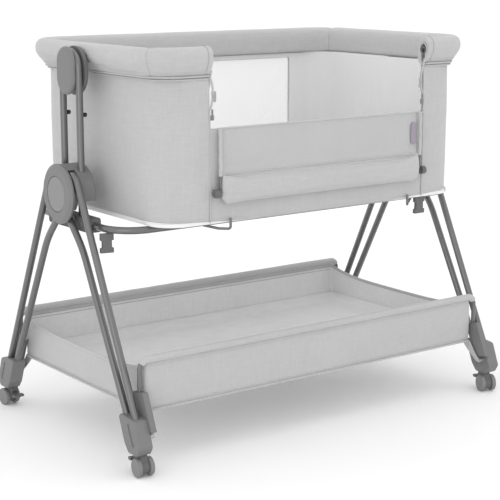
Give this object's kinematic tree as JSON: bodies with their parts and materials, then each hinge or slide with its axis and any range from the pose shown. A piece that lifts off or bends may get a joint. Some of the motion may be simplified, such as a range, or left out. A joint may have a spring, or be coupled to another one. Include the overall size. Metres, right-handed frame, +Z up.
{
  "type": "bassinet on stand",
  "caption": "Bedside bassinet with a fold-down mesh side on a folding A-frame stand with sliding uprights, casters and a low storage basket.",
  "frame": {"origin": "on the floor under the middle of the stand", "axes": "+X along the bassinet to its right end, -Y towards the fold-down side, +Z up"},
  "size_m": [1.013, 0.6314, 0.843],
  "materials": {
    "tube_metal": "satin",
    "hub_plastic": "satin",
    "button_plastic": "satin",
    "dark_plastic": "satin",
    "wheel_plastic": "matte",
    "stud_rubber": "matte",
    "steel_bolt": "satin",
    "brass_screw": "satin",
    "shell_fabric": "woven",
    "rail_fabric": "woven",
    "mesh_fabric": "mesh",
    "gate_mesh": "mesh",
    "basket_fabric": "woven",
    "floor_board": "matte",
    "white_board": "matte",
    "mattress_cover": "woven"
  },
  "bodies": {
    "hubs": {"hub_shells": "hub_plastic", "hub_covers": "hub_plastic", "hub_axles": "steel_bolt", "basket_tub": "basket_fabric", "basket_board": "floor_board"},
    "cradle": {"uprights": "tube_metal", "upright_caps": "hub_plastic", "cap_backs": "dark_plastic", "upright_studs": "stud_rubber", "frame_tubes": "tube_metal", "frame_bends": "tube_metal", "frame_brackets": "dark_plastic", "bracket_screws": "brass_screw", "base_board": "white_board", "mattress": "mattress_cover", "end_panel_left": "shell_fabric", "end_panel_right": "shell_fabric", "back_panel": "shell_fabric", "back_window": "mesh_fabric", "front_panel": "shell_fabric", "rail_left": "rail_fabric", "rail_right": "rail_fabric", "rail_back": "rail_fabric", "rail_frame": "tube_metal", "rail_sockets": "dark_plastic", "zip_sliders": "dark_plastic", "buckles": "dark_plastic", "hem_wires": "steel_bolt"},
    "drop_gate": {"drop_mesh": "gate_mesh", "drop_pad": "shell_fabric", "drop_frame": "tube_metal", "drop_latches": "dark_plastic"},
    "button_left": {"hub_button_left": "button_plastic"},
    "button_right": {"hub_button_right": "button_plastic"},
    "front_legs": {"leg_front_left": "tube_metal", "leg_front_right": "tube_metal", "shoe_front_left": "hub_plastic", "shoe_front_right": "hub_plastic", "shoe_screws_front": "steel_bolt", "basket_rod_front": "tube_metal", "basket_straps_front": "basket_fabric"},
    "back_legs": {"leg_back_left": "tube_metal", "leg_back_right": "tube_metal", "shoe_back_left": "hub_plastic", "shoe_back_right": "hub_plastic", "shoe_screws_back": "steel_bolt", "basket_rod_back": "tube_metal", "basket_straps_back": "basket_fabric"},
    "caster_front_left": {"caster_fork_front_left": "dark_plastic"},
    "wheels_front_left": {"caster_wheels_front_left": "wheel_plastic"},
    "brake_front_left": {"brake_pedal_front_left": "dark_plastic"},
    "caster_front_right": {"caster_fork_front_right": "dark_plastic"},
    "wheels_front_right": {"caster_wheels_front_right": "wheel_plastic"},
    "brake_front_right": {"brake_pedal_front_right": "dark_plastic"},
    "caster_back_left": {"caster_fork_back_left": "dark_plastic"},
    "wheels_back_left": {"caster_wheels_back_left": "wheel_plastic"},
    "brake_back_left": {"brake_pedal_back_left": "dark_plastic"},
    "caster_back_right": {"caster_fork_back_right": "dark_plastic"},
    "wheels_back_right": {"caster_wheels_back_right": "wheel_plastic"},
    "brake_back_right": {"brake_pedal_back_right": "dark_plastic"}
  },
  "joints": [
    {"name": "height_slide", "type": "slide", "parent": "hubs", "child": "cradle", "axis": [0, 0, 1], "range_m": [-0.09, 0]},
    {"name": "gate_hinge", "type": "hinge", "parent": "cradle", "child": "drop_gate", "pos_m": [0, -0.255, 0.68], "axis": [-1, 0, 0], "range_deg": [0, 180]},
    {"name": "button_left_press", "type": "slide", "parent": "hubs", "child": "button_left", "axis": [1, 0, 0], "range_m": [0, 0.005], "stiffness_N_per_m": 800},
    {"name": "button_right_press", "type": "slide", "parent": "hubs", "child": "button_right", "axis": [-1, 0, 0], "range_m": [0, 0.005], "stiffness_N_per_m": 800},
    {"name": "front_fold", "type": "hinge", "parent": "hubs", "child": "front_legs", "pos_m": [0, 0, 0.533], "axis": [1, 0, 0], "range_deg": [0, 15], "deforming": ["basket_tub"]},
    {"name": "back_fold", "type": "hinge", "parent": "front_legs", "child": "back_legs", "pos_m": [0, 0, 0.533], "axis": [1, 0, 0], "range_deg": [-30, 0]},
    {"name": "swivel_front_left", "type": "hinge", "parent": "front_legs", "child": "caster_front_left", "pos_m": [-0.484, -0.281, 0.044], "axis": [0, 0, 1], "continuous": true},
    {"name": "roll_front_left", "type": "hinge", "parent": "caster_front_left", "child": "wheels_front_left", "pos_m": [-0.48525, -0.29293, 0.019], "axis": [0.9945, -0.1045, 0], "continuous": true},
    {"name": "brake_front_left_press", "type": "hinge", "parent": "caster_front_left", "child": "brake_front_left", "pos_m": [-0.48311, -0.27255, 0.029], "axis": [-0.9945, 0.1045, 0], "range_deg": [0, 14]},
    {"name": "swivel_front_right", "type": "hinge", "parent": "front_legs", "child": "caster_front_right", "pos_m": [0.484, -0.281, 0.044], "axis": [0, 0, 1], "continuous": true},
    {"name": "roll_front_right", "type": "hinge", "parent": "caster_front_right", "child": "wheels_front_right", "pos_m": [0.48029, -0.29241, 0.019], "axis": [0.9511, -0.309, 0], "continuous": true},
    {"name": "brake_front_right_press", "type": "hinge", "parent": "caster_front_right", "child": "brake_front_right", "pos_m": [0.48663, -0.27292, 0.029], "axis": [-0.9511, 0.309, 0], "range_deg": [0, 14]},
    {"name": "swivel_back_left", "type": "hinge", "parent": "back_legs", "child": "caster_back_left", "pos_m": [-0.484, 0.281, 0.044], "axis": [0, 0, 1], "continuous": true},
    {"name": "roll_back_left", "type": "hinge", "parent": "caster_back_left", "child": "wheels_back_left", "pos_m": [-0.48525, 0.29293, 0.019], "axis": [-0.9945, -0.1045, 0], "continuous": true},
    {"name": "brake_back_left_press", "type": "hinge", "parent": "caster_back_left", "child": "brake_back_left", "pos_m": [-0.48311, 0.27255, 0.029], "axis": [0.9945, 0.1045, 0], "range_deg": [0, 14]},
    {"name": "swivel_back_right", "type": "hinge", "parent": "back_legs", "child": "caster_back_right", "pos_m": [0.484, 0.281, 0.044], "axis": [0, 0, 1], "continuous": true},
    {"name": "roll_back_right", "type": "hinge", "parent": "caster_back_right", "child": "wheels_back_right", "pos_m": [0.48029, 0.29241, 0.019], "axis": [-0.9511, -0.309, 0], "continuous": true},
    {"name": "brake_back_right_press", "type": "hinge", "parent": "caster_back_right", "child": "brake_back_right", "pos_m": [0.48663, 0.27292, 0.029], "axis": [0.9511, 0.309, 0], "range_deg": [0, 14]}
  ],
  "couplings": [
    {"joint": "back_fold", "follows": "front_fold", "ratio": -2}
  ]
}
